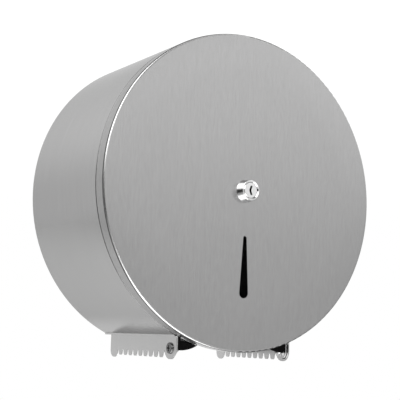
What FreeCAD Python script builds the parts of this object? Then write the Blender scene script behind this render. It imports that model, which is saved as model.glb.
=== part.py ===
import FreeCAD, Part
import math
import os
import Sketcher

# Jumbo toilet roll dispenser: a round steel drum on the wall with a hinged round cover.
# Millimetres. X is to the right, Y into the wall, Z up. The origin is the centre of the
# back plate's wall face, so a depth, measured from the wall towards the room, is -Y,
# and a drop, measured down from the axis of the drum, is -Z.

document = FreeCAD.newDocument("dispenser")
sheet = document.addObject("Spreadsheet::Sheet", "dims")

# Driving dimensions
driving = {
    # outside of the whole object
    "cover_radius": 125.0,
    "body_depth": 126.0,
    # cover
    "cover_sheet": 0.8,
    "skirt_depth": 11.5,
    "cover_bend": 1.6,
    "sight_top_drop": 36.8,
    "sight_bottom_drop": 79.5,
    "sight_top_radius": 1.55,
    "sight_bottom_radius": 4.05,
    # drum and its two tear blades, one strip of sheet
    "drum_sheet": 0.8,
    "drum_gap": 0.7,
    "drum_front_gap": 1.8,
    "seam_gap": 0.8,
    "joggle_round": 0.5,
    "neck_relief": 5.0,
    "blade_span": 106.2,
    "blade_bend": 1.2,
    "blade_rear": 11.0,
    "gap_top_below_cover": 0.8,
    "tooth_tip_below_cover": 5.4,
    "rear_lobe_below_cover": 7.4,
    "first_tooth_gap": 4.8,
    "last_tooth_gap": 4.9,
    "tooth_pitch": 8.2,
    "gap_top_width": 1.8,
    "gap_top_flat": 0.05,
    "tooth_tip_width": 4.3,
    "tooth_tip_round": 1.7,
    "rear_lobe_width": 12.4,
    "rear_lobe_flat": 0.3,
    "notch_round": 0.6,
    # hinge
    "pin_behind_skirt": 7.2,
    "pin_above_cover": 1.9,
    "hinge_lobe_radius": 8.3,
    "hinge_lobe_flat": 0.7,
    "screw_radius": 2.0,
    "fit_gap": 0.05,
    "pin_gap": 0.1,
    "screw_head_radius": 4.3,
    "screw_head_height": 1.4,
    "screw_head_round": 0.9,
    "screw_end": 0.9,
    "cross_length": 4.6,
    "cross_width": 1.1,
    "cross_depth": 1.0,
    "outer_washer": 0.3,
    "inner_washer": 0.5,
    "washer_radius": 4.4,
    "washer_gap": 0.05,
    "nut_across": 7.0,
    "nut_height": 3.2,
    "nut_collar_radius": 2.9,
    "nut_collar_height": 0.9,
    "ear_sheet": 1.2,
    "ear_gap": 0.5,
    "ear_flat": 0.1,
    "ear_arm_rise": 14.0,
    "ear_foot": 12.0,
    "ear_bend": 1.0,
    "ear_shoulder_round": 5.0,
    "skirt_clearance": 0.5,
    # black guards beside the hinge ears
    "guard_washer_gap": 0.3,
    "guard_below_pin": 1.5,
    "guard_round": 31.0,
    "guard_flat": 2.2,
    "guard_web_rise": 7.4,
    "guard_tip_rise": 4.0,
    "pad_washer_gap": 0.5,
    "pad_margin": 0.1,
    "rivet_radius": 1.5,
    "rivet_head_radius": 2.7,
    "rivet_head_height": 1.1,
    "rivet_behind_pin": 0.9,
    # back plate
    "back_sheet": 1.0,
    "back_rim": 12.0,
    "back_bend": 1.6,
    "wall_hole_radius": 3.5,
    "wall_hole_spacing": 120.0,
    # spindle
    "post_radius": 19.0,
    "post_wall": 1.2,
    "base_sheet": 1.5,
    "base_rivet_from_post": 6.5,
    "base_rivet_from_edge": 6.5,
    "base_rivet_count": 4,
    "base_rivet_radius": 2.0,
    "base_rivet_head_radius": 3.8,
    "base_rivet_head_height": 1.4,
    "latch_sheet": 1.5,
    "latch_overhang": 2.5,
    "latch_barrel_gap": 1.7,
    "latch_side_gap": 1.0,
    "latch_end_gap": 2.0,
    # core hub
    "thrust_sheet": 2.0,
    "thrust_clearance": 0.4,
    "hub_end_gap": 0.3,
    "hub_bore_gap": 0.3,
    "hub_wall": 3.2,
    "hub_flange_width": 13.5,
    "hub_flange": 2.5,
    "hub_flange_round": 0.8,
    "hub_nose": 1.6,
    # cam lock
    "lock_base_lip": 1.1,
    "lock_front_lip": 0.1,
    "lock_height": 7.0,
    "lock_edge": 0.7,
    "lock_mouth": 0.7,
    "lock_body_wall": 1.62,
    "lock_body_length": 14.0,
    "plug_radius": 6.2,
    "plug_gap": 0.08,
    "plug_recess": 0.5,
    "plug_edge": 0.6,
    "keyway_length": 7.2,
    "keyway_width": 1.8,
    "keyway_bend": 1.3,
    "keyway_depth": 4.0,
    "lock_washer_sheet": 0.8,
    "lock_washer_radius": 12.6,
    "lock_nut_height": 3.5,
    "lock_nut_across": 22.0,
    "stop_sheet": 0.8,
    "stop_rim": 2.65,
    "tail_across": 7.0,
    "cam_sheet": 2.0,
    "cam_hub_wall": 1.05,
    "cam_width": 8.0,
    "cam_tip_gap": 2.3,
    "cam_latch_gap": 0.8,
    "cam_screw_radius": 2.0,
    "cam_screw_head_radius": 3.8,
    "cam_screw_head_height": 2.0,
    "cam_screw_length": 4.0,
    "cam_washer_sheet": 0.6,
    "cam_washer_radius": 4.4,
    # every cut runs past the face that it leaves by this much
    "overrun": 5.0,
    # roundings, as shares of the thickness of a sheet's edge and of the height of a head
    "edge_round_share": 0.4,
    "head_round_share": 0.75,
}


# A size holds its number and the formula that ties it to the sheet
class Size:
    def __init__(self, formula, value):
        self.formula = formula
        self.value = value

    def joined(self, sign, other, value):
        return Size(f"({self.formula} {sign} {other.formula})", value)

    def __add__(self, other):
        other = asSize(other)
        return self.joined("+", other, self.value + other.value)

    def __sub__(self, other):
        other = asSize(other)
        return self.joined("-", other, self.value - other.value)

    def __mul__(self, other):
        other = asSize(other)
        return self.joined("*", other, self.value * other.value)

    def __truediv__(self, other):
        other = asSize(other)
        return self.joined("/", other, self.value / other.value)

    def __neg__(self):
        return Size(f"(0 - {self.formula})", -self.value)

    def root(self):
        return Size(f"sqrt({self.formula})", math.sqrt(self.value))


def asSize(number):
    return number if isinstance(number, Size) else Size(repr(float(number)), float(number))


def fillSheet():
    sizes = {}
    for row, (name, value) in enumerate(driving.items(), start=1):
        sheet.set(f"A{row}", name)
        sheet.set(f"B{row}", str(value))
        sheet.setAlias(f"B{row}", name)
        sizes[name] = Size(f"dims.{name}", float(value))
    document.recompute()
    return sizes


d = fillSheet()
zero = asSize(0)

# Sizes that several pieces share
skirtRear = d["body_depth"] - d["skirt_depth"]
coverInside = d["body_depth"] - d["cover_sheet"]
skirtInside = d["cover_radius"] - d["cover_sheet"]
drumFront = coverInside - d["drum_front_gap"]
bladeOuter = d["blade_span"] / 2
bladeInner = bladeOuter - d["drum_sheet"]

# the drum is flush with the cover's skirt across a narrow seam, and its neck steps in under the skirt
drumRadius = d["cover_radius"]
drumInside = drumRadius - d["drum_sheet"]
drumShoulder = skirtRear - d["seam_gap"]
wallFront = drumShoulder - d["drum_sheet"]
neckRadius = skirtInside - d["drum_gap"]
neckInside = neckRadius - d["drum_sheet"]
lobeTop = (d["cover_radius"] * d["cover_radius"] - bladeInner * bladeInner).root() + d["skirt_clearance"]

# the hinge pin lies behind the cover's skirt and just above the cover's lowest point
pinDepth = skirtRear - d["pin_behind_skirt"]
pinDrop = d["cover_radius"] - d["pin_above_cover"]
earOuter = bladeInner - d["ear_gap"]
earInner = earOuter - d["ear_sheet"]
earFront = skirtRear - d["skirt_clearance"]
earRadius = earFront - pinDepth
earTop = (skirtInside * skirtInside - earOuter * earOuter).root() - d["skirt_clearance"]

# each guard stands off the hinge washers, and its rivet sits between the washers and its top
guardRear = pinDepth + d["washer_radius"] + d["guard_washer_gap"]
guardWall = earFront - guardRear
guardDrop = pinDrop + d["guard_below_pin"]
guardPadDrop = pinDrop - d["washer_radius"] - d["pad_washer_gap"]
rivetDrop = guardPadDrop - d["rivet_head_radius"] - d["pad_margin"]
rivetDepth = pinDepth - d["rivet_behind_pin"]
guardTop = rivetDrop - d["rivet_head_radius"] - d["pad_margin"]

# the lock's barrel ends just in front of the spindle's keyhole plate, and its cam is behind it
lockBore = d["plug_radius"] + d["plug_gap"]
lockBodyRadius = lockBore + d["lock_body_wall"]
barrelFront = d["body_depth"] + d["lock_height"]
barrelRear = coverInside - d["lock_body_length"]
latchFront = barrelRear - d["latch_barrel_gap"]
postFront = latchFront - d["latch_sheet"]
camFront = postFront - d["cam_latch_gap"]
camRear = camFront - d["cam_sheet"]
camReach = d["post_radius"] - d["post_wall"] - d["cam_tip_gap"]
tailCorner = (d["tail_across"] * d["tail_across"] / 2).root()
camHubRadius = tailCorner + d["cam_hub_wall"]

# the hub turns on the spindle's post, between a washer and the keyhole plate
baseFront = d["back_sheet"] + d["base_sheet"]
baseRivetCircle = d["post_radius"] + d["base_rivet_from_post"]
thrustFront = baseFront + d["thrust_sheet"]
thrustRadius = baseRivetCircle - d["base_rivet_head_radius"] - d["thrust_clearance"]
hubBore = d["post_radius"] + d["hub_bore_gap"]
hubRadius = hubBore + d["hub_wall"]
hubFront = postFront - d["hub_end_gap"]

# Two places count as the same when they are nearer than this
samePlace = 0.01
planeOf = {"front": "XZ_Plane", "side": "YZ_Plane", "top": "XY_Plane"}


def newBody(label, moves=None):
    piece = document.addObject("PartDesign::Body", label)
    piece.Label = label
    for axis, size in (moves or {}).items():
        piece.setExpression(f"Placement.Base.{axis}", size.formula)
    return piece


# A front drawing has x right and y up and its depth runs towards the room. A side drawing
# has x along Y and y up and its depth runs to the right. A top drawing lies on X and Y.
def newDrawing(piece, name, view, depth=zero):
    drawing = piece.newObject("Sketcher::SketchObject", name)
    planes = [feature for feature in piece.Origin.OriginFeatures if feature.Role == planeOf[view]]
    drawing.AttachmentSupport = [(planes[0], "")]
    drawing.MapMode = "FlatFace"
    if depth is not zero:
        drawing.setExpression("AttachmentOffset.Base.z", depth.formula)
    return drawing


def bind(drawing, constraint, size):
    number = drawing.addConstraint(constraint)
    drawing.setExpression(f"Constraints[{number}]", size.formula)


def place(drawing, geometry, vertex, x, y):
    for kind, size, axis in (("DistanceX", x, -2), ("DistanceY", y, -1)):
        if size is zero:
            drawing.addConstraint(Sketcher.Constraint("PointOnObject", geometry, vertex, axis))
        else:
            bind(drawing, Sketcher.Constraint(kind, -1, 1, geometry, vertex, size.value), size)


def circle(drawing, x, y, radius):
    centre = FreeCAD.Vector(x.value, y.value, 0)
    ring = drawing.addGeometry(Part.Circle(centre, FreeCAD.Vector(0, 0, 1), radius.value), False)
    if x is zero and y is zero:
        drawing.addConstraint(Sketcher.Constraint("Coincident", ring, 3, -1, 1))
    else:
        place(drawing, ring, 3, x, y)
    bind(drawing, Sketcher.Constraint("Radius", ring, radius.value), radius)


# A closed outline of straight sides. A corner is (x, y) or (x, y, rounding radius).
def outline(drawing, corners):
    spots = [FreeCAD.Vector(corner[0].value, corner[1].value, 0) for corner in corners]
    count = len(corners)
    ahead = [(spots[(i + 1) % count] - spots[i]).normalize() for i in range(count)]
    trims = []
    for i, corner in enumerate(corners):
        turn = ahead[i - 1].getAngle(ahead[i])
        trims.append(corner[2].value * math.tan(turn / 2) if len(corner) > 2 else 0)
    points = []
    for spot in spots:
        points.append(drawing.addGeometry(Part.Point(spot), True))
    sides = []
    for i in range(count):
        last = (i + 1) % count
        start = spots[i] + ahead[i] * trims[i]
        end = spots[last] - ahead[i] * trims[last]
        sides.append(drawing.addGeometry(Part.LineSegment(start, end), False))
    for i, corner in enumerate(corners):
        place(drawing, points[i], 1, corner[0], corner[1])
        if len(corner) == 2:
            drawing.addConstraint(Sketcher.Constraint("Coincident", sides[i - 1], 2, points[i], 1))
            drawing.addConstraint(Sketcher.Constraint("Coincident", sides[i], 1, points[i], 1))
        else:
            roundCorner(drawing, points[i], sides[i - 1], sides[i], spots[i],
                        ahead[i - 1], ahead[i], trims[i], corner[2])


def roundCorner(drawing, point, before, after, spot, arriving, leaving, trim, radius):
    isLeft = arriving.x * leaving.y - arriving.y * leaving.x > 0
    inward = FreeCAD.Vector(-arriving.y, arriving.x, 0) * (1 if isLeft else -1)
    start = spot - arriving * trim
    end = spot + leaving * trim
    centre = start + inward * radius.value
    angles = [math.atan2(tip.y - centre.y, tip.x - centre.x) for tip in (start, end)]
    if not isLeft:
        angles.reverse()
    if angles[1] < angles[0]:
        angles[1] += 2 * math.pi
    whole = Part.Circle(centre, FreeCAD.Vector(0, 0, 1), radius.value)
    arc = drawing.addGeometry(Part.ArcOfCircle(whole, angles[0], angles[1]), False)
    for side in (before, after):
        drawing.addConstraint(Sketcher.Constraint("PointOnObject", point, 1, side))
    drawing.addConstraint(Sketcher.Constraint("Tangent", before, 2, arc, 1 if isLeft else 2))
    drawing.addConstraint(Sketcher.Constraint("Tangent", after, 1, arc, 2 if isLeft else 1))
    bind(drawing, Sketcher.Constraint("Radius", arc, radius.value), radius)


def box(left, right, low, high):
    return [(left, low), (right, low), (right, high), (left, high)]


# Adds or cuts a drawing's shape over a length, and tests that a cut took something away
def solidStep(kind, piece, name, drawing, length, bothWays=False, backwards=False):
    before = piece.Shape.Volume if kind == "Pocket" else 0
    step = piece.newObject(f"PartDesign::{kind}", name)
    step.Profile = (drawing, [""])
    step.setExpression("Length", length.formula)
    step.Midplane = bothWays
    step.Reversed = backwards
    drawing.Visibility = False
    document.recompute()
    if kind == "Pocket" and not step.Shape.Volume < before:
        raise RuntimeError(f"{name} cuts nothing")
    return step


def pad(piece, name, drawing, length, **ways):
    return solidStep("Pad", piece, name, drawing, length, **ways)


def pocket(piece, name, drawing, length, **ways):
    return solidStep("Pocket", piece, name, drawing, length, **ways)


# Turns a half section about the drawing's upright or level axis
def turn(piece, name, drawing, axis="V_Axis"):
    step = piece.newObject("PartDesign::Revolution", name)
    step.Profile = (drawing, [""])
    step.ReferenceAxis = (drawing, [axis])
    step.Angle = 360
    document.recompute()
    return step


# A piece turned about the drum's axis, from corners given as (radius, depth, rounding)
def turned(label, corners):
    piece = newBody(label)
    section = newDrawing(piece, f"{label}_section", "top")
    outline(section, [(corner[0], -corner[1]) + corner[2:] for corner in corners])
    turn(piece, f"{label}_turned", section)
    return piece


# A round piece on the hinge pin's line, from corners given as (distance from the middle, radius)
def pinTurned(label, side, corners):
    piece = newBody(label, {"y": -pinDepth, "z": -pinDrop})
    section = newDrawing(piece, f"{label}_section", "front")
    outline(section, [(corner[0] * side, corner[1]) + corner[2:] for corner in corners])
    turn(piece, f"{label}_turned", section, "H_Axis")
    return piece


def edgesWhere(shape, test):
    return [f"Edge{i}" for i, edge in enumerate(shape.Edges, start=1) if test(edge.BoundBox)]


def roundEdges(piece, name, radius, test, kind="Fillet"):
    base = piece.Tip
    step = piece.newObject(f"PartDesign::{kind}", name)
    step.Base = (base, edgesWhere(base.Shape, test))
    step.setExpression("Radius" if kind == "Fillet" else "Size", radius.formula)
    document.recompute()
    return step


def near(number, size):
    return abs(number - size.value) < samePlace


def repeatAlong(piece, name, feature, direction, length, count, backwards=False):
    step = piece.newObject("PartDesign::LinearPattern", name)
    step.Originals = [feature]
    step.Direction = direction
    step.Reversed = backwards
    step.setExpression("Length", length.formula)
    step.Occurrences = count
    piece.Tip = step
    document.recompute()
    return step


def group(label, pieces):
    compound = document.addObject("Part::Compound", label)
    compound.Label = label
    compound.Links = pieces
    document.recompute()
    return compound


# Back plate: a disc with a folded rim that the drum strip wraps, and four wall holes
def makeBackPlate():
    radius = drumInside - d["fit_gap"]
    inner = radius - d["back_sheet"]
    piece = turned("back_plate", [
        (zero, zero), (radius, zero, d["back_bend"]), (radius, d["back_rim"]), (inner, d["back_rim"]),
        (inner, d["back_sheet"], d["back_bend"] - d["back_sheet"]), (zero, d["back_sheet"])])
    holes = newDrawing(piece, "wall_holes", "front")
    reach = d["wall_hole_spacing"] / 2
    for side in (-1, 1):
        for level in (-1, 1):
            circle(holes, reach * side, reach * level, d["wall_hole_radius"])
    pocket(piece, "wall_holes_cut", holes, d["back_sheet"] + d["overrun"], backwards=True)
    rivets = newDrawing(piece, "rivet_holes", "front")
    for x, y in rivetPlaces():
        circle(rivets, x, y, d["base_rivet_radius"] + d["fit_gap"])
    pocket(piece, "rivet_holes_cut", rivets, d["back_sheet"] + d["overrun"], backwards=True)
    return piece


# The base rivets stand evenly round a circle, the first half a step on from the right
def rivetPlaces():
    places = []
    for index in range(driving["base_rivet_count"]):
        angle = 2 * math.pi * (index + 0.5) / driving["base_rivet_count"]
        places.append((baseRivetCircle * math.cos(angle), baseRivetCircle * math.sin(angle)))
    return places


# Drum wall: one strip of sheet rolled round the drum, whose two ends bend down as tear blades
def makeDrumWall():
    piece = turned("drum_wall", [
        (drumInside, zero), (drumRadius, zero), (drumRadius, drumShoulder, d["joggle_round"]),
        (neckRadius, drumShoulder), (neckRadius, drumFront), (neckInside, drumFront),
        (neckInside, wallFront), (drumInside, wallFront)])

    # the paper outlet is the open stretch between the blades
    outlet = newDrawing(piece, "outlet", "front")
    outline(outlet, box(-bladeInner, bladeInner, -drumRadius - d["overrun"], -drumInside / 2))
    pocket(piece, "outlet_cut", outlet, drumFront * 2, bothWays=True)

    # the neck stops short of the blades, so that the strip can bend. Its ends point at the middle.
    relief = newDrawing(piece, "relief", "front", wallFront)
    reliefReach = bladeOuter + d["neck_relief"]
    reliefDrop = (drumRadius * drumRadius - reliefReach * reliefReach).root()
    outline(relief, [
        (-reliefReach / 2, -reliefDrop / 2), (-reliefReach * 2, -reliefDrop * 2),
        (reliefReach * 2, -reliefDrop * 2), (reliefReach / 2, -reliefDrop / 2)])
    pocket(piece, "relief_cut", relief, drumFront, backwards=True)

    # each blade starts level with the inside of the strip
    lobeDrop = d["cover_radius"] + d["rear_lobe_below_cover"]
    bladeTop = (drumInside * drumInside - bladeInner * bladeInner).root()
    blades = newDrawing(piece, "blades", "front")
    for side in (-1, 1):
        outline(blades, box(bladeInner * side, bladeOuter * side, -lobeDrop, -bladeTop))
    pad(piece, "blades_folded", blades, wallFront)
    lobes = newDrawing(piece, "lobes", "front")
    for side in (-1, 1):
        outline(lobes, box(bladeInner * side, bladeOuter * side, -lobeDrop, -lobeTop))
    pad(piece, "lobes_folded", lobes, drumFront)
    bendDrop = (drumRadius * drumRadius - bladeOuter * bladeOuter).root()
    roundEdges(piece, "bend_outside", d["blade_bend"], lambda at: near(abs(at.XMin), bladeOuter)
               and near(at.XLength, zero) and near(at.ZMin, -bendDrop) and near(at.ZLength, zero))
    roundEdges(piece, "bend_inside", d["blade_bend"] + d["drum_sheet"], lambda at: near(at.XLength, zero)
               and near(abs(at.XMin), bladeInner) and near(at.ZMin, -bladeTop) and near(at.ZLength, zero))
    cutBlades(piece, bendDrop + d["blade_bend"])
    return piece


# The cuts run sideways through both blades at once. In a side drawing a depth is -x.
def cutBlades(piece, bladeTop):
    lobeDrop = d["cover_radius"] + d["rear_lobe_below_cover"]
    under = lobeDrop + d["overrun"]
    over = drumFront + d["overrun"]
    lobeMiddle = d["blade_rear"] + d["rear_lobe_width"] / 2
    lobeEnd = d["blade_rear"] + d["rear_lobe_width"]
    lobeRound = d["rear_lobe_width"] / 2 - d["rear_lobe_flat"]
    pinRear = pinDepth - d["hinge_lobe_radius"]
    pinFront = pinDepth + d["hinge_lobe_radius"]
    pinUnder = pinDrop + d["hinge_lobe_radius"]
    pinRound = d["hinge_lobe_radius"] - d["hinge_lobe_flat"]
    tip = d["cover_radius"] + d["tooth_tip_below_cover"]
    gapTop = d["cover_radius"] + d["gap_top_below_cover"]
    halfGap = d["gap_top_width"] / 2
    gapRound = halfGap - d["gap_top_flat"]
    flank = (d["tooth_pitch"] - d["tooth_tip_width"]) / 2
    firstTooth = lobeEnd + d["first_tooth_gap"]

    # as many whole pitches as fit between the first tooth and the hinge lobe
    room = pinRear - d["last_tooth_gap"] - firstTooth
    gapCount = math.floor(room.value / driving["tooth_pitch"] + samePlace)
    lastTooth = firstTooth + d["tooth_pitch"] * gapCount

    def cut(name, corners):
        drawing = newDrawing(piece, name, "side")
        outline(drawing, [(-corner[0], -corner[1]) + corner[2:] for corner in corners])
        return pocket(piece, f"{name}_cut", drawing, d["blade_span"] * 2, bothWays=True)

    cut("behind_blades", [
        (-d["overrun"], bladeTop), (d["blade_rear"], bladeTop, d["notch_round"]),
        (d["blade_rear"], lobeDrop, lobeRound), (lobeMiddle, lobeDrop), (lobeMiddle, under),
        (-d["overrun"], under)])

    # gap between the rear lobe and the first tooth
    cut("first_gap", [
        (lobeMiddle, under), (lobeMiddle, lobeDrop), (lobeEnd, lobeDrop, lobeRound),
        (lobeEnd, gapTop, gapRound), (lobeEnd + d["gap_top_width"], gapTop, gapRound),
        (firstTooth - d["tooth_tip_width"] / 2, tip, d["tooth_tip_round"]),
        (firstTooth, tip), (firstTooth, under)])

    # one gap between two teeth, repeated along the blade
    middle = firstTooth + d["tooth_pitch"] / 2
    gap = cut("tooth_gap", [
        (firstTooth, under), (firstTooth, tip), (middle - flank, tip, d["tooth_tip_round"]),
        (middle - halfGap, gapTop, gapRound), (middle + halfGap, gapTop, gapRound),
        (middle + flank, tip, d["tooth_tip_round"]),
        (firstTooth + d["tooth_pitch"], tip), (firstTooth + d["tooth_pitch"], under)])
    repeatAlong(piece, "tooth_gaps", gap, (document.getObject("tooth_gap"), ["H_Axis"]),
                d["tooth_pitch"] * (gapCount - 1), gapCount, backwards=True)

    # gap between the last tooth and the hinge lobe
    cut("last_gap", [
        (lastTooth, under), (lastTooth, tip),
        (lastTooth + d["tooth_tip_width"] / 2, tip, d["tooth_tip_round"]),
        (pinRear - d["gap_top_width"], gapTop, gapRound), (pinRear, gapTop, gapRound),
        (pinRear, pinUnder, pinRound), (pinDepth, pinUnder), (pinDepth, under)])

    # in front, the blade ends behind the cover's skirt and its lobe reaches under it
    cut("before_blades", [
        (pinDepth, under), (pinDepth, pinUnder), (pinFront, pinUnder, pinRound),
        (pinFront, lobeTop, d["notch_round"]), (wallFront, lobeTop, d["notch_round"]),
        (wallFront, bladeTop - d["blade_bend"]), (over, bladeTop - d["blade_bend"]), (over, under)])

    pinHoles = newDrawing(piece, "pin_holes", "side")
    circle(pinHoles, -pinDepth, -pinDrop, d["screw_radius"] + d["fit_gap"])
    pocket(piece, "pin_holes_cut", pinHoles, d["blade_span"] * 2, bothWays=True)


# Spindle: a riveted base disc, a tube and a keyhole plate on its end for the cam
def makeSpindle():
    baseRadius = baseRivetCircle + d["base_rivet_from_edge"]
    base = turned("spindle_base", [
        (zero, d["back_sheet"]), (baseRadius, d["back_sheet"]),
        (baseRadius, baseFront, d["base_sheet"] * d["edge_round_share"]), (zero, baseFront)])
    rivetHoles = newDrawing(base, "base_rivet_holes", "front")
    for x, y in rivetPlaces():
        circle(rivetHoles, x, y, d["base_rivet_radius"] + d["fit_gap"])
    pocket(base, "base_rivet_holes_cut", rivetHoles, baseFront + d["overrun"], backwards=True)
    postInside = d["post_radius"] - d["post_wall"]
    post = turned("spindle_post", [
        (postInside, baseFront), (d["post_radius"], baseFront), (d["post_radius"], postFront),
        (postInside, postFront)])

    latchRadius = d["post_radius"] + d["latch_overhang"]
    latch = turned("latch_plate", [
        (zero, postFront), (latchRadius, postFront),
        (latchRadius, latchFront, d["latch_sheet"] * d["edge_round_share"]), (zero, latchFront)])
    hole = newDrawing(latch, "keyhole_round", "front")
    circle(hole, zero, zero, camHubRadius + d["latch_side_gap"])
    pocket(latch, "keyhole_round_cut", hole, latchFront + d["overrun"], backwards=True)
    slot = newDrawing(latch, "keyhole_slot", "front")
    half = d["cam_width"] / 2 + d["latch_side_gap"]
    slotDrop = camReach + d["latch_end_gap"]
    outline(slot, [(-half, -slotDrop, half / 2), (half, -slotDrop, half / 2), (half, zero), (-half, zero)])
    pocket(latch, "keyhole_slot_cut", slot, latchFront + d["overrun"], backwards=True)
    return [base, post, latch]


def makeBaseRivets():
    rivets = []
    headTop = baseFront + d["base_rivet_head_height"]
    for index, (x, z) in enumerate(rivetPlaces(), start=1):
        name = f"base_rivet_{index}"
        rivet = newBody(name, {"x": x, "z": z})
        section = newDrawing(rivet, f"{name}_section", "top")
        outline(section, [
            (zero, zero), (d["base_rivet_radius"], zero), (d["base_rivet_radius"], -baseFront),
            (d["base_rivet_head_radius"], -baseFront),
            (d["base_rivet_head_radius"], -headTop, d["base_rivet_head_height"] * d["head_round_share"]),
            (zero, -headTop)])
        turn(rivet, f"{name}_turned", section)
        rivets.append(rivet)
    return group("base_rivets", rivets)


# The hub that the roll's core sits on turns on the spindle between a washer and the keyhole plate
def makeHub():
    washer = turned("thrust_washer", [
        (hubBore, baseFront), (thrustRadius, baseFront), (thrustRadius, thrustFront), (hubBore, thrustFront)])
    rear = thrustFront + d["hub_end_gap"]
    flangeFront = rear + d["hub_flange"]
    flangeRadius = hubRadius + d["hub_flange_width"]
    hub = turned("core_hub", [
        (hubBore, rear), (flangeRadius, rear, d["hub_flange_round"]),
        (flangeRadius, flangeFront, d["hub_flange_round"]), (hubRadius, flangeFront),
        (hubRadius, hubFront - d["hub_nose"]), (hubRadius - d["hub_nose"], hubFront), (hubBore, hubFront)])
    return [washer, hub]


# Cover: a dished disc with a sight slot and the lock's hole
def makeCover():
    cover = turned("cover_shell", [
        (zero, d["body_depth"]), (d["cover_radius"], d["body_depth"], d["cover_bend"]),
        (d["cover_radius"], skirtRear), (skirtInside, skirtRear),
        (skirtInside, coverInside, d["cover_bend"] - d["cover_sheet"]), (zero, coverInside)])
    through = d["body_depth"] + d["overrun"]
    hole = newDrawing(cover, "lock_hole", "front")
    circle(hole, zero, zero, lockBodyRadius + d["pin_gap"])
    pocket(cover, "lock_hole_cut", hole, through, backwards=True)

    # the slot is two round ends joined by their two tangents
    widening = d["sight_bottom_radius"] - d["sight_top_radius"]
    spread = widening / (d["sight_bottom_drop"] - d["sight_top_drop"])
    across = (asSize(1) - spread * spread).root()
    ends = ((d["sight_top_drop"], d["sight_top_radius"]), (d["sight_bottom_drop"], d["sight_bottom_radius"]))
    corners = []
    for side, order in ((-1, ends), (1, tuple(reversed(ends)))):
        for drop, radius in order:
            corners.append((radius * across * side, radius * spread - drop))
    for name, (drop, radius) in zip(("sight_top", "sight_bottom"), ends):
        roundEnd = newDrawing(cover, name, "front")
        circle(roundEnd, zero, -drop, radius)
        pocket(cover, f"{name}_cut", roundEnd, through, backwards=True)
    slot = newDrawing(cover, "sight_slot", "front")
    outline(slot, corners)
    pocket(cover, "sight_slot_cut", slot, through, backwards=True)
    return cover


# Hinge ear: a bent bracket welded inside the cover, with its lobe on the hinge screw
def makeEar(name, side):
    piece = newBody(f"hinge_ear_{name}")
    rear = pinDepth - earRadius
    bottom = pinDrop + earRadius
    top = earTop - d["ear_arm_rise"]
    lobeRound = earRadius - d["ear_flat"]
    plate = newDrawing(piece, f"ear_{name}", "side", earInner * side)
    outline(plate, [
        (-rear, -bottom, lobeRound), (-earFront, -bottom, lobeRound), (-earFront, -earTop),
        (-coverInside, -earTop), (-coverInside, -top), (-rear, -top, d["ear_shoulder_round"])])
    pad(piece, f"ear_{name}_plate", plate, d["ear_sheet"], backwards=side < 0)
    foot = newDrawing(piece, f"foot_{name}", "front", coverInside)
    outline(foot, box(earOuter * side, (earOuter - d["ear_foot"]) * side, -earTop, -top))
    pad(piece, f"foot_{name}_plate", foot, d["ear_sheet"], backwards=True)
    bendDepth = coverInside - d["ear_sheet"]
    roundEdges(piece, f"ear_{name}_inside", d["ear_bend"], lambda at: near(abs(at.XMin), earInner)
               and near(at.XLength, zero) and near(at.YMin, -bendDepth) and near(at.YLength, zero))
    roundEdges(piece, f"ear_{name}_outside", d["ear_bend"] + d["ear_sheet"], lambda at: near(at.XLength, zero)
               and near(abs(at.XMin), earOuter) and near(at.YMin, -coverInside) and near(at.YLength, zero))
    holes = (("pin", pinDepth, pinDrop, d["screw_radius"] + d["pin_gap"]),
             ("rivet", rivetDepth, rivetDrop, d["rivet_radius"] + d["fit_gap"]))
    for part, depth, drop, radius in holes:
        hole = newDrawing(piece, f"ear_{name}_{part}_hole", "side")
        circle(hole, -depth, -drop, radius)
        pocket(piece, f"ear_{name}_{part}_cut", hole, d["blade_span"] * 2, bothWays=True)
    return piece


# Guard: a black moulded web that keeps the paper off the hinge nut, riveted to the ear by its pad
def makeGuard(name, side):
    piece = newBody(f"hinge_guard_{name}")
    outer = earInner - d["fit_gap"]
    arcCentre = outer - d["guard_flat"]
    rise = d["guard_round"] - d["guard_tip_rise"]
    reach = (d["guard_round"] * d["guard_round"] - rise * rise).root()
    web = newDrawing(piece, f"web_{name}", "front", guardRear)
    outline(web, [
        (arcCentre * side, -guardDrop), ((arcCentre - reach) * side, -guardDrop),
        ((arcCentre - reach) * side, d["guard_tip_rise"] - guardDrop),
        (arcCentre * side, d["guard_web_rise"] - guardDrop)])
    pad(piece, f"web_{name}_plate", web, guardWall)

    # the web's lower edge sweeps up towards the middle along a large arc
    sweep = newDrawing(piece, f"sweep_{name}", "front", guardRear)
    sweepDrop = guardDrop - d["guard_round"]
    circle(sweep, arcCentre * side, -sweepDrop, d["guard_round"])
    circle(sweep, arcCentre * side, -sweepDrop, d["guard_round"] * 2)
    pocket(piece, f"sweep_{name}_cut", sweep, guardWall, backwards=True)
    heel = newDrawing(piece, f"heel_{name}", "front", guardRear)
    outline(heel, box(outer * side, arcCentre * side, -guardDrop, -guardTop))
    pad(piece, f"heel_{name}_plate", heel, guardWall)

    mount = newDrawing(piece, f"pad_{name}", "side", outer * side)
    rear = pinDepth - earRadius + guardWall
    outline(mount, [(-earFront, -guardPadDrop), (-rear, -guardPadDrop, guardWall), (-rear, -guardTop),
                    (-earFront, -guardTop)])
    pad(piece, f"pad_{name}_plate", mount, guardWall, backwards=side > 0)
    hole = newDrawing(piece, f"pad_{name}_hole", "side")
    circle(hole, -rivetDepth, -rivetDrop, d["rivet_radius"] + d["fit_gap"])
    pocket(piece, f"pad_{name}_cut", hole, d["blade_span"] * 2, bothWays=True)
    return piece


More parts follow.
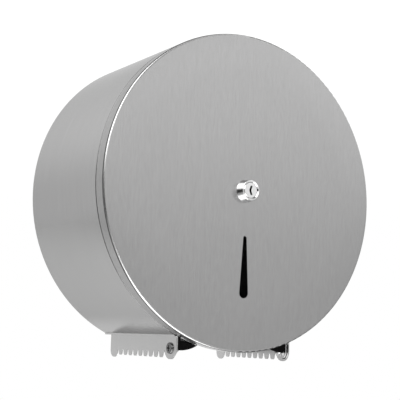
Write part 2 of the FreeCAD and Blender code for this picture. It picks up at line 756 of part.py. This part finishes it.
def makeGuardRivet(name, side):
    label = f"guard_rivet_{name}"
    piece = newBody(label, {"y": -rivetDepth, "z": -rivetDrop})
    section = newDrawing(piece, f"{label}_section", "front")
    padInner = earInner - d["fit_gap"] - guardWall
    head = padInner - d["rivet_head_height"]
    outline(section, [
        (earOuter * side, zero), (earOuter * side, d["rivet_radius"]), (padInner * side, d["rivet_radius"]),
        (padInner * side, d["rivet_head_radius"]),
        (head * side, d["rivet_head_radius"], d["rivet_head_height"] * d["head_round_share"]),
        (head * side, zero)])
    turn(piece, f"{label}_turned", section, "H_Axis")
    return piece


# Hinge screw: pan head outside the blade, cross recess, shank through lobe, ear, washers and nut
def makeHingeScrew(name, side):
    label = f"hinge_screw_{name}"
    head = bladeOuter + d["screw_head_height"]
    tip = earInner - d["inner_washer"] - d["nut_height"] - d["screw_end"]
    piece = pinTurned(label, side, [
        (tip, zero), (tip, d["screw_radius"]), (bladeOuter, d["screw_radius"]),
        (bladeOuter, d["screw_head_radius"]), (head, d["screw_head_radius"], d["screw_head_round"]),
        (head, zero)])
    for way, wide, tall in (("level", d["cross_length"], d["cross_width"]),
                            ("upright", d["cross_width"], d["cross_length"])):
        recess = newDrawing(piece, f"{label}_{way}", "side", head * side)
        outline(recess, box(-wide / 2, wide / 2, -tall / 2, tall / 2))
        pocket(piece, f"{label}_{way}_cut", recess, d["cross_depth"], backwards=side < 0)
    return piece


def makeHingeWasher(name, side, face, thick):
    hole = d["screw_radius"] + d["fit_gap"]
    return pinTurned(f"hinge_washer_{name}", side, [
        (face, hole), (face + thick, hole), (face + thick, d["washer_radius"]), (face, d["washer_radius"])])


# Nut: a hexagon with a round collar on its far side
def makeHingeNut(name, side):
    label = f"hinge_nut_{name}"
    face = earInner - d["inner_washer"]
    back = face - d["nut_height"]
    piece = newBody(label, {"y": -pinDepth, "z": -pinDrop})
    flats = newDrawing(piece, f"{label}_flats", "side", face * side)
    outline(flats, hexagon(d["nut_across"]))
    pad(piece, f"{label}_hexagon", flats, d["nut_height"] - d["nut_collar_height"], backwards=side > 0)
    collar = newDrawing(piece, f"{label}_collar", "side", (back + d["nut_collar_height"]) * side)
    circle(collar, zero, zero, d["nut_collar_radius"])
    pad(piece, f"{label}_collar_pad", collar, d["nut_collar_height"], backwards=side > 0)
    bore = newDrawing(piece, f"{label}_bore", "side")
    circle(bore, zero, zero, d["screw_radius"] + d["fit_gap"])
    pocket(piece, f"{label}_bore_cut", bore, d["blade_span"] * 2, bothWays=True)
    return piece


# A hexagon's corners, from its width across flats
def hexagon(across):
    cornerRadius = across / math.sqrt(3)
    corners = []
    for index in range(6):
        angle = math.pi * (index / 3 + 1 / 6)
        corners.append((cornerRadius * math.cos(angle), cornerRadius * math.sin(angle)))
    return corners


def makeHingeHardware():
    sides = (("left", -1), ("right", 1))
    outerFace = earOuter + (d["ear_gap"] - d["outer_washer"]) / 2
    innerFace = earInner - d["inner_washer"] + d["washer_gap"]
    innerThick = d["inner_washer"] - d["washer_gap"] * 2
    washers = []
    for name, side in sides:
        washers.append(makeHingeWasher(f"{name}_outer", side, outerFace, d["outer_washer"]))
        washers.append(makeHingeWasher(f"{name}_inner", side, innerFace, innerThick))
    return [group("hinge_screws", [makeHingeScrew(name, side) for name, side in sides]),
            group("hinge_washers", washers),
            group("hinge_nuts", [makeHingeNut(name, side) for name, side in sides]),
            group("guard_rivets", [makeGuardRivet(name, side) for name, side in sides])]


# Cam lock: flared head outside the cover, threaded body through it, washer and nut behind
def makeLockBody():
    baseRadius = lockBodyRadius + d["lock_base_lip"]
    frontRadius = lockBodyRadius + d["lock_front_lip"]
    barrel = turned("lock_barrel", [
        (lockBore, barrelRear), (lockBodyRadius, barrelRear), (lockBodyRadius, d["body_depth"]),
        (baseRadius, d["body_depth"]), (frontRadius, barrelFront, d["lock_edge"]),
        (lockBore + d["lock_mouth"], barrelFront), (lockBore, barrelFront - d["lock_mouth"])])
    hole = lockBodyRadius + d["fit_gap"]
    washerRear = coverInside - d["lock_washer_sheet"]
    washer = turned("lock_washer", [
        (hole, washerRear), (d["lock_washer_radius"], washerRear), (d["lock_washer_radius"], coverInside),
        (hole, coverInside)])
    nut = newBody("lock_nut")
    flats = newDrawing(nut, "lock_nut_flats", "front", washerRear)
    outline(flats, hexagon(d["lock_nut_across"]))
    pad(nut, "lock_nut_hexagon", flats, d["lock_nut_height"], backwards=True)
    nutHole = newDrawing(nut, "lock_nut_hole", "front")
    circle(nutHole, zero, zero, hole)
    pocket(nut, "lock_nut_hole_cut", nutHole, d["body_depth"], backwards=True)
    return [barrel, washer, nut]


# Plug with its keyway, and on its square tail the stop washer, the cam and the cam's screw
def makeLockCore():
    front = barrelFront - d["plug_recess"]
    plug = turned("lock_plug", [
        (zero, barrelRear), (d["plug_radius"], barrelRear), (d["plug_radius"], front, d["plug_edge"]),
        (zero, front)])
    tail = newDrawing(plug, "plug_tail", "front", camRear)
    halfTail = d["tail_across"] / 2
    outline(tail, box(-halfTail, halfTail, -halfTail, halfTail))
    pad(plug, "plug_tail_pad", tail, barrelRear - camRear)
    tapped = newDrawing(plug, "plug_thread", "front", camRear)
    circle(tapped, zero, zero, d["cam_screw_radius"] + d["fit_gap"])
    pocket(plug, "plug_thread_cut", tapped, d["cam_screw_length"] + d["fit_gap"], backwards=True)
    # the keyway is bent like an arrow head that points left
    keyway = newDrawing(plug, "keyway", "front", front)
    tall = d["keyway_length"] / 2
    left = -(d["keyway_width"] + d["keyway_bend"]) / 2
    right = left + d["keyway_width"]
    outline(keyway, [(left, zero), (left + d["keyway_bend"], -tall), (right + d["keyway_bend"], -tall),
                     (right, zero), (right + d["keyway_bend"], tall), (left + d["keyway_bend"], tall)])
    pocket(plug, "keyway_cut", keyway, d["keyway_depth"])

    grip = halfTail + d["fit_gap"]
    square = box(-grip, grip, -grip, grip)
    stopFront = barrelRear - d["pin_gap"]
    stopRear = stopFront - d["stop_sheet"]
    stopRadius = tailCorner + d["stop_rim"]
    stop = turned("stop_washer", [
        (zero, stopRear), (stopRadius, stopRear), (stopRadius, stopFront), (zero, stopFront)])
    cutThrough(stop, "stop_square", square)
    cam = newBody("lock_cam")
    disc = newDrawing(cam, "cam_disc", "front", camRear)
    circle(disc, zero, zero, camHubRadius)
    pad(cam, "cam_disc_pad", disc, d["cam_sheet"])
    arm = newDrawing(cam, "cam_arm", "front", camRear)
    half = d["cam_width"] / 2
    outline(arm, [(-half, -camReach, half / 2), (half, -camReach, half / 2), (half, zero), (-half, zero)])
    pad(cam, "cam_arm_pad", arm, d["cam_sheet"])
    cutThrough(cam, "cam_square", square)

    washerRear = camRear - d["cam_washer_sheet"]
    washer = turned("cam_washer", [
        (d["cam_screw_radius"] + d["fit_gap"], washerRear), (d["cam_washer_radius"], washerRear),
        (d["cam_washer_radius"], camRear), (d["cam_screw_radius"] + d["fit_gap"], camRear)])
    headRear = washerRear - d["cam_screw_head_height"]
    screwRound = d["cam_screw_head_height"] * d["head_round_share"]
    screw = turned("cam_screw", [
        (zero, headRear), (d["cam_screw_head_radius"], headRear, screwRound),
        (d["cam_screw_head_radius"], washerRear), (d["cam_screw_radius"], washerRear),
        (d["cam_screw_radius"], camRear + d["cam_screw_length"]), (zero, camRear + d["cam_screw_length"])])
    return [plug, stop, cam, washer, screw]


def cutThrough(piece, name, corners):
    drawing = newDrawing(piece, name, "front")
    outline(drawing, corners)
    pocket(piece, f"{name}_cut", drawing, d["body_depth"] * 2, bothWays=True)


def makeAll():
    nodes = [makeBackPlate(), makeDrumWall()]
    nodes += makeSpindle()
    nodes.append(makeBaseRivets())
    nodes += makeHub()
    nodes.append(makeCover())
    for name, side in (("left", -1), ("right", 1)):
        nodes += [makeEar(name, side), makeGuard(name, side)]
    nodes += makeHingeHardware()
    nodes += makeLockBody()
    nodes += makeLockCore()
    return nodes


def checkAll(nodes):
    document.recompute()
    for item in document.Objects:
        if "Invalid" in item.State or "Error" in item.State:
            raise RuntimeError(f"{item.Label} did not recompute")
    for node in nodes:
        if node.Shape.isNull() or not node.Shape.isValid():
            raise RuntimeError(f"{node.Label} has no valid shape")


def writeAll(nodes):
    os.makedirs("parts", exist_ok=True)
    for node in nodes:
        node.Shape.exportStep(f"parts/{node.Label}.step")
        print(node.Label, len(node.Shape.Solids), "solids,", round(node.Shape.Volume, 1), "mm3")


nodes = makeAll()
checkAll(nodes)
writeAll(nodes)
print(len(nodes), "nodes written")
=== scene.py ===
import math

import bmesh
import bpy
from mathutils import Matrix, Vector

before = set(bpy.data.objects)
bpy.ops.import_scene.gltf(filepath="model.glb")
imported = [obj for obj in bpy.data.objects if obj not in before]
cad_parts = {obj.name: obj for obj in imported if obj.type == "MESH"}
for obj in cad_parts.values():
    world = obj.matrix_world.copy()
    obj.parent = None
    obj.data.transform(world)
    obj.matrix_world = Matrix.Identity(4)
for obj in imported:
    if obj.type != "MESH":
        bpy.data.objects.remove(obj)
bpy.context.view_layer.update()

print("frame loaded:", len(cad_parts), "nodes")


# With these two classes the values of a material are added and multiplied like numbers.
class Wire:
    def __init__(self, surface, socket):
        self.surface = surface
        self.socket = socket

    def __add__(self, other):
        return self.surface.maths("ADD", self, other)

    def __radd__(self, other):
        return self.surface.maths("ADD", other, self)

    def __sub__(self, other):
        return self.surface.maths("SUBTRACT", self, other)

    def __rsub__(self, other):
        return self.surface.maths("SUBTRACT", other, self)

    def __mul__(self, other):
        return self.surface.maths("MULTIPLY", self, other)

    def __rmul__(self, other):
        return self.surface.maths("MULTIPLY", other, self)

    def __truediv__(self, other):
        return self.surface.maths("DIVIDE", self, other)

    def __rtruediv__(self, other):
        return self.surface.maths("DIVIDE", other, self)

    def atLeast(self, other):
        return self.surface.maths("MAXIMUM", self, other)

    def root(self):
        return self.surface.maths("SQRT", self)

    def size(self):
        return self.surface.maths("ABSOLUTE", self)

    def ramp(self, start, end):  # 0 at start, 1 at end, smooth between. Start may be the higher one.
        made = self.surface.node("ShaderNodeMapRange", {"interpolation_type": "SMOOTHSTEP"},
                                 {"Value": self, "From Min": start, "From Max": end})
        return Wire(self.surface, made.outputs["Result"])


class Surface:  # the nodes of one material, or of the world
    def __init__(self, tree):
        self.tree = tree
        self.tree.nodes.clear()

    def node(self, kind, settings, sockets):
        made = self.tree.nodes.new(kind)
        for key, value in settings.items():
            setattr(made, key, value)
        for key, value in sockets.items():
            self.feed(made.inputs[key], value)
        return made

    def feed(self, socket, value):
        if isinstance(value, Wire):
            self.tree.links.new(value.socket, socket)
        else:
            socket.default_value = value

    def wire(self, made, output):
        return Wire(self, made.outputs[output])

    def maths(self, operation, *values):
        made = self.node("ShaderNodeMath", {"operation": operation}, dict(enumerate(values)))
        return Wire(self, made.outputs[0])

    def mix(self, factor, low, high):  # two colours. A Mix node keeps these at inputs 6 and 7.
        made = self.node("ShaderNodeMix", {"data_type": "RGBA"}, {0: factor, 6: low, 7: high})
        return Wire(self, made.outputs[2])

    def places(self, source="Object"):  # x, y and z, in metres on the object
        spot = self.node("ShaderNodeTexCoord", {}, {})
        split = self.node("ShaderNodeSeparateXYZ", {}, {"Vector": self.wire(spot, source)})
        return [self.wire(split, axis) for axis in "XYZ"]

    def noise(self, stretch):  # stretch is waves per metre along x, y and z, or one number for all
        if not isinstance(stretch, tuple):
            stretch = (stretch, stretch, stretch)
        spot = self.node("ShaderNodeTexCoord", {}, {})
        spread = self.node("ShaderNodeMapping", {},
                           {"Vector": self.wire(spot, "Object"), "Scale": stretch})
        made = self.node("ShaderNodeTexNoise", {}, {"Vector": self.wire(spread, "Vector"),
                                                   "Scale": 1.0, "Detail": 3.0, "Roughness": 0.55})
        return self.wire(made, "Fac")

    def speckled(self, mask, level, spread, warmth=0.0):  # a grey that the mask makes darker or lighter
        return self.mix(mask, grey(level - spread, warmth), grey(level + spread, warmth))


def grey(level, warmth=0.0):
    return (level * (1 + warmth), level, level * (1 - warmth), 1.0)


# Colour and height are functions that build what varies, roughness is one or a plain number,
# and fixed holds the sockets that don't vary.
def finish(name, colour, roughness, height=None, fixed=None):
    material = bpy.data.materials.new(name)
    material.use_nodes = True
    surface = Surface(material.node_tree)
    sockets = {"Base Color": colour(surface), "Roughness": roughness}
    if callable(roughness):
        sockets["Roughness"] = roughness(surface)
    if height is not None:
        bump = surface.node("ShaderNodeBump", {},
                            {"Strength": 1.0, "Distance": 1.0, "Height": height(surface)})
        sockets["Normal"] = surface.wire(bump, "Normal")
    sockets.update(fixed or {})
    shader = surface.node("ShaderNodeBsdfPrincipled", {}, sockets)
    output = surface.node("ShaderNodeOutputMaterial", {}, {})
    surface.tree.links.new(shader.outputs["BSDF"], output.inputs["Surface"])
    material.diffuse_color = grey(0.5)  # for a viewport that doesn't shade
    return material


# Brushed sheet. Depths are y and heights are z of the object, in metres, from where a zone
# starts to where it is full.
satin = {
    "colour": 0.45,
    "colourSpread": 0.028,
    "warmth": 0.002,
    "contrast": 2.0,
    "fineLines": 0.7,                       # the rest are broader streaks
    "outletSheenColour": 0.62,                   # painted sheen: lighter on the strip beside the blades
    "outletSheenHeights": (-0.098, -0.111),
    "bladeSheenColour": 0.50,                    # painted sheen: the blades, bent from the same sheet, coloured lighter
    "bladeHeights": (-0.1125, -0.1135),
    "seamShadeColour": 0.16,                     # painted shade: the drum's edge at the seam behind the skirt
    "seamShadeDepths": (-0.1131, -0.1132),
    "foldShadeColour": 0.11,                     # painted dark reflection along the outer half of the fold
    "foldShadeDepths": (-0.12545, -0.12515),
    "skirtShadeColour": 0.40,                    # painted shade: the skirt, the same sheet as the face, coloured darker,
    "skirtShadeDepths": (-0.1242, -0.1238),
    "skirtLowSheenColour": 0.85,                 # with painted reflection lighter underneath
    "skirtLowSheenHeights": (-0.106, -0.117),
    "roughness": 0.25,
    "roughnessSpread": 0.05,
    "edgeTint": 0.6,                        # brushed sheet doesn't brighten at grazing angles
    "clouds": 14.0,
    "grainHeight": 4e-6,
    "crownStart": 0.092,                    # the face falls away slightly towards its rim
    "crownCurve": 1.5,
    # the fine lines and the streaks, in waves per metre, brushed upright or round the drum
    "upright": ((1100.0, 260.0, 150.0), (420.0, 90.0, 60.0)),
    "around": ((40.0, 1600.0, 40.0), (14.0, 480.0, 14.0)),
}


def satinSteel(name, direction, covering=False, bladed=False):
    fine, broad = satin[direction]

    def brushing(surface):
        share = satin["fineLines"]
        return surface.noise(fine) * share + surface.noise(broad) * (1 - share)

    # Painted sheen beside and on the blades, and painted shade at the seam.
    def drumPaintedZones(surface, sheet, brushed, y, z):
        blade = z.ramp(*satin["bladeHeights"])
        # painted shade along the drum's edge behind the skirt, but not on the blades
        seamShade = y.ramp(*satin["seamShadeDepths"]) * (1.0 - blade)
        # painted sheen: the strip beside the blades is coloured lighter
        outletSheen = z.ramp(*satin["outletSheenHeights"])
        sheet = surface.mix(outletSheen, sheet, brushed(satin["outletSheenColour"]))
        # painted sheen: the blades are coloured lighter
        sheet = surface.mix(blade, sheet, brushed(satin["bladeSheenColour"]))
        return surface.mix(seamShade, sheet, brushed(satin["seamShadeColour"]))

    # Painted dark reflection along the fold, painted shade on the skirt and painted reflection under
    # it.
    def coverPaintedZones(surface, sheet, brushed, y, z):
        # painted dark reflection along the fold
        foldShade = y.ramp(*satin["foldShadeDepths"])
        sheet = surface.mix(foldShade, sheet, brushed(satin["foldShadeColour"]))
        # painted shade on the skirt, with painted reflection lighter underneath
        skirtShade = surface.mix(z.ramp(*satin["skirtLowSheenHeights"]),
                            brushed(satin["skirtShadeColour"]), brushed(satin["skirtLowSheenColour"]))
        return surface.mix(y.ramp(*satin["skirtShadeDepths"]), sheet, skirtShade)

    def colour(surface):
        mask = (brushing(surface) - 0.5) * satin["contrast"] + 0.5
        x, y, z = surface.places()

        def brushed(level):
            return surface.speckled(mask, level, satin["colourSpread"], satin["warmth"])

        sheet = brushed(satin["colour"])
        if bladed:
            sheet = drumPaintedZones(surface, sheet, brushed, y, z)
        if covering:
            sheet = coverPaintedZones(surface, sheet, brushed, y, z)
        return sheet

    def roughness(surface):
        uneven = surface.noise(satin["clouds"]) * 0.5 + brushing(surface) * 0.5
        return satin["roughness"] + (uneven - 0.5) * satin["roughnessSpread"] * 2

    def height(surface):
        lines = brushing(surface) * satin["grainHeight"]
        if not covering:
            return lines
        x, y, z = surface.places()
        beyond = ((x * x + z * z).root() - satin["crownStart"]).atLeast(0.0)
        return lines - beyond * beyond * (satin["crownCurve"] / 2)

    fixed = {"Metallic": 1.0, "Specular Tint": grey(satin["edgeTint"])}
    return finish(name, colour, roughness, height, fixed)


faceSteel = satinSteel("faceSteel", "upright", covering=True)
stripSteel = satinSteel("stripSteel", "around", bladed=True)
plateSteel = satinSteel("plateSteel", "upright")


# Other metals. The first three values of the grain are waves per metre, and the hollows are painted
# shade: near-black colour inside the lock's bore and keyway, where shade falls.
metals = {
    "plainSteel": {"level": 0.42, "roughness": 0.30, "spread": 0.03, "warmth": 0.0},
    "brightSteel": {"level": 0.60, "roughness": 0.16, "spread": 0.02, "warmth": 0.0},
    "screwSteel": {"level": 0.14, "roughness": 0.24, "spread": 0.02, "warmth": 0.0},
    "zinc": {"level": 0.50, "roughness": 0.32, "spread": 0.05, "warmth": 0.012},
    "barrelChrome": {"level": 0.80, "roughness": 0.07, "spread": 0.01, "warmth": 0.0},
    "plugChrome": {"level": 0.88, "roughness": 0.07, "spread": 0.01, "warmth": 0.0},
}
metalGrain = {"mottle": 900.0, "dull": 225.0, "bumps": 1800.0, "height": 2e-6,
              "roughnessShare": 0.6}
lockHollowShade = {
    "level": 0.01,
    "boreRadii": (0.00636, 0.00632),        # inside the barrel's bore,
    "boreDepths": (-0.1327, -0.1324),       # behind its mouth
    "plugDepths": (-0.1321, -0.1318),       # the keyway and the side of the plug
}


# Where the lock's painted shade lies: in the bore, and behind the plug's face.
def shadeWithinBore(x, y, z):
    across = (x * x + z * z).root()
    return across.ramp(*lockHollowShade["boreRadii"]) * y.ramp(*lockHollowShade["boreDepths"])


def shadeBehindPlugFace(x, y, z):
    return y.ramp(*lockHollowShade["plugDepths"])


def metal(name, hollowShade=None):
    values = metals[name]

    def colour(surface):
        bright = surface.speckled(surface.noise(metalGrain["mottle"]),
                                  values["level"], values["spread"], values["warmth"])
        if hollowShade is None:
            return bright
        # painted shade in the lock's hollows
        return surface.mix(hollowShade(*surface.places()), bright, grey(lockHollowShade["level"]))

    def roughness(surface):
        spread = values["roughness"] * metalGrain["roughnessShare"]
        return values["roughness"] + (surface.noise(metalGrain["dull"]) - 0.5) * spread

    def height(surface):
        return surface.noise(metalGrain["bumps"]) * metalGrain["height"]

    return finish(name, colour, roughness, height, {"Metallic": 1.0})


plainSteel = metal("plainSteel")
brightSteel = metal("brightSteel")
screwSteel = metal("screwSteel")
zinc = metal("zinc")
barrelChrome = metal("barrelChrome", shadeWithinBore)
plugChrome = metal("plugChrome", shadeBehindPlugFace)


plastics = {
    "blackPlastic": {"level": 0.002, "roughness": 0.55, "warmth": 0.0, "shine": 0.04},
    "greyPlastic": {"level": 0.20, "roughness": 0.42, "warmth": 0.0, "shine": 0.5},
    "whitePlastic": {"level": 0.70, "roughness": 0.40, "warmth": 0.02, "shine": 0.5},
}
plasticGrain = {"mottle": 500.0, "dull": 1800.0, "bumps": 2600.0, "height": 1.2e-5,
                "levelShare": 0.1, "roughnessSpread": 0.16}


def plastic(name):
    values = plastics[name]

    def colour(surface):
        spread = values["level"] * plasticGrain["levelShare"]
        return surface.speckled(surface.noise(plasticGrain["mottle"]),
                                values["level"], spread, values["warmth"])

    def roughness(surface):
        spread = plasticGrain["roughnessSpread"]
        return values["roughness"] + (surface.noise(plasticGrain["dull"]) - 0.5) * spread

    def height(surface):
        return surface.noise(plasticGrain["bumps"]) * plasticGrain["height"]

    return finish(name, colour, roughness, height,
                  {"Metallic": 0.0, "Specular IOR Level": values["shine"]})


blackPlastic = plastic("blackPlastic")
greyPlastic = plastic("greyPlastic")
whitePlastic = plastic("whitePlastic")


nodeFinishes = {
    "cover_shell": faceSteel,
    "drum_wall": stripSteel,
    "back_plate": plateSteel,
    "hinge_ear_left": stripSteel,
    "hinge_ear_right": stripSteel,
    "hinge_guard_left": blackPlastic,
    "hinge_guard_right": blackPlastic,
    "guard_rivets": brightSteel,
    "hinge_screws": screwSteel,
    "hinge_washers": brightSteel,
    "hinge_nuts": brightSteel,
    "spindle_base": plainSteel,
    "spindle_post": plainSteel,
    "latch_plate": plainSteel,
    "base_rivets": plainSteel,
    "thrust_washer": whitePlastic,
    "core_hub": greyPlastic,
    "lock_barrel": barrelChrome,
    "lock_plug": plugChrome,
    "lock_washer": zinc,
    "lock_nut": zinc,
    "stop_washer": zinc,
    "lock_cam": zinc,
    "cam_washer": zinc,
    "cam_screw": zinc,
}
for name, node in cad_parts.items():
    node.data.materials.clear()
    node.data.materials.append(nodeFinishes[name])
print("finishes on", len(nodeFinishes), "nodes")


# The room around the object, by direction: x and y are level and z is up. Apart from faceTowards,
# a pair is where a zone starts and where it is full.
room = {
    "level": 1.0,                           # white behind the object
    "overhead": 0.25,                       # brighter above
    "overheadHeights": (0.1, 0.5),
    "faceDim": 0.36,                        # darker where the face looks, and below
    "faceTowards": (0.54, -0.84),
    "faceReach": (0.1, 0.8),
    "faceHeights": (0.21, 0.05),
    "rearDim": 0.14,                        # behind the drum's left side
    "rearDepths": (0.0, 0.3),
    "rearEast": (0.33, -0.05),
    "rearMiddle": -0.02,
    "rearHeights": (0.5, 0.1),              # above and below its middle
    "rimDim": 0.35,                         # where the face's rim looks, at the lower left
    "rimEast": (0.45, 0.33),
    "rimDepths": (-0.7, -0.8),
    "rimHeights": (0.22, 0.08),
    "ceilingDim": 0.90,                     # straight above, and above in front
    "ceilingHeights": (0.80, 0.92),
    "frontEast": (-0.25, -0.05),
    "frontDepths": (-0.6, -0.7),
    "frontHeights": (0.40, 0.48),
}


def makeWorld():
    world = bpy.data.worlds.new("studioWorld")
    bpy.context.scene.world = world
    world.use_nodes = True
    surface = Surface(world.node_tree)
    x, y, z = surface.places("Generated")
    east = x / (x * x + y * y + 0.0001).root()  # the small number avoids dividing by zero
    faceX, faceY = room["faceTowards"]
    towards = (x * faceX + y * faceY).ramp(*room["faceReach"])
    face = towards * z.ramp(*room["faceHeights"]) * room["faceDim"]
    offMiddle = (z - room["rearMiddle"]).size()
    rear = y.ramp(*room["rearDepths"]) * east.ramp(*room["rearEast"])
    rear = rear * offMiddle.ramp(*room["rearHeights"]) * room["rearDim"]
    rim = x.ramp(*room["rimEast"]) * y.ramp(*room["rimDepths"])
    rim = rim * z.ramp(*room["rimHeights"]) * room["rimDim"]
    front = x.ramp(*room["frontEast"]) * y.ramp(*room["frontDepths"])
    front = front * z.ramp(*room["frontHeights"])
    ceiling = z.ramp(*room["ceilingHeights"]).atLeast(front) * room["ceilingDim"]
    overhead = z.ramp(*room["overheadHeights"]) * room["overhead"]
    strength = (room["level"] + overhead - face.atLeast(rim) - rear - ceiling).atLeast(0.0)
    sky = surface.node("ShaderNodeBackground", {}, {"Color": grey(1.0), "Strength": strength})
    output = surface.node("ShaderNodeOutputWorld", {}, {})
    surface.tree.links.new(sky.outputs["Background"], output.inputs["Surface"])


# The object hangs on a wall that isn't shown, so the floor lies well below it. The flag is a
# black card on the left that is seen in reflections alone. It darkens the edge of the lock and
# the fold of the cover.
paperFloor = {"drop": 0.55, "wide": 8.0, "high": 8.0,
              "level": 0.64, "spread": 0.01, "mottle": 3.0, "roughness": 0.9}
blackFlag = {"place": (-0.98, -0.74, -0.03), "aim": (0.0, -0.06, 0.0), "wide": 1.25, "high": 0.50,
             "level": 0.006, "spread": 0.002, "mottle": 9.0, "roughness": 1.0, "shine": 0.0}


def makeSheet(name, coating, placing, values, fixed=None):  # a flat rectangle, which placing moves
    sized = placing @ Matrix.Diagonal((values["wide"], values["high"], 1.0, 1.0))
    shape = bmesh.new()
    bmesh.ops.create_grid(shape, x_segments=1, y_segments=1, size=0.5)
    bmesh.ops.transform(shape, matrix=sized, verts=shape.verts)
    mesh = bpy.data.meshes.new(name)
    shape.to_mesh(mesh)
    shape.free()

    def colour(surface):
        return surface.speckled(surface.noise(values["mottle"]), values["level"], values["spread"])

    mesh.materials.append(finish(coating, colour, values["roughness"], fixed=fixed))
    made = bpy.data.objects.new(name, mesh)
    bpy.context.collection.objects.link(made)
    return made


def facing(place, aim, front):  # the turn that points an object's front axis from place at aim
    return (Vector(aim) - Vector(place)).to_track_quat(front, "Y")


def makeFloor():
    lower = Matrix.Translation((0.0, 0.0, -paperFloor["drop"]))
    floor = makeSheet("studioFloor", "floorPaper", lower, paperFloor)


def makeFlag():
    turn = facing(blackFlag["place"], blackFlag["aim"], "Z").to_matrix().to_4x4()
    placing = Matrix.Translation(blackFlag["place"]) @ turn
    fixed = {"Specular IOR Level": blackFlag["shine"]}
    card = makeSheet("studioFlag", "flagCloth", placing, blackFlag, fixed)
    card.visible_camera = False
    card.visible_diffuse = False
    card.visible_shadow = False


lamps = {
    "upperLamp": {"place": (-0.68, -0.74, 0.85), "aim": (0.0, -0.06, 0.0),
                  "wide": 0.9, "high": 1.2, "watts": 11.0},
    "lowerLamp": {"place": (-0.22, -0.52, -0.50), "aim": (-0.10, -0.55, 1.0),
                  "wide": 1.1, "high": 0.5, "watts": 5.0},
    "rearLamp": {"place": (0.0, 0.50, -0.37), "aim": (0.0, -0.06, -0.10),
                 "wide": 0.9, "high": 0.56, "watts": 0.50},
}


def makeLamps():
    for name, lamp in lamps.items():
        data = bpy.data.lights.new(name, "AREA")
        data.shape = "RECTANGLE"
        data.size = lamp["wide"]
        data.size_y = lamp["high"]
        data.energy = lamp["watts"]
        made = bpy.data.objects.new(name, data)
        bpy.context.collection.objects.link(made)
        made.location = lamp["place"]
        made.rotation_euler = facing(lamp["place"], lamp["aim"], "-Z").to_euler()
        made.visible_camera = False


makeWorld()
makeFloor()
makeFlag()
makeLamps()
print("studio ready")


# Metres and degrees, but millimetres for the lens and the sensor. The azimuth is 0 in front of
# the cover and negative to the left, and the elevation is negative from below.
camera = {
    "aim": (0.021336, -0.025, 0.004513),
    "distance": 0.9159,
    "azimuth": -32.236,
    "elevation": -7.43,
    "roll": 1.771,
    "lens": 94.32,
    "sensor": 36.0,
    "nearest": 0.01,
}


def makeCamera():
    a = math.radians(camera["azimuth"])
    e = math.radians(camera["elevation"])
    r = math.radians(camera["roll"])
    back = Vector((math.sin(a) * math.cos(e), -math.cos(a) * math.cos(e), math.sin(e)))
    right = (-back).cross(Vector((0, 0, 1))).normalized()
    up = right.cross(-back)
    across = right * math.cos(r) + up * math.sin(r)
    upward = up * math.cos(r) - right * math.sin(r)
    place = Vector(camera["aim"]) + back * camera["distance"]
    data = bpy.data.cameras.new("photoCamera")
    data.lens = camera["lens"]
    data.sensor_width = camera["sensor"]
    data.clip_start = camera["nearest"]
    made = bpy.data.objects.new("photoCamera", data)
    bpy.context.collection.objects.link(made)
    made.matrix_world = Matrix((
        (across.x, upward.x, back.x, place.x),
        (across.y, upward.y, back.y, place.y),
        (across.z, upward.z, back.z, place.z),
        (0.0, 0.0, 0.0, 1.0)))
    bpy.context.scene.camera = made


makeCamera()
bpy.context.scene.view_settings.view_transform = "Standard"
print("camera ready")
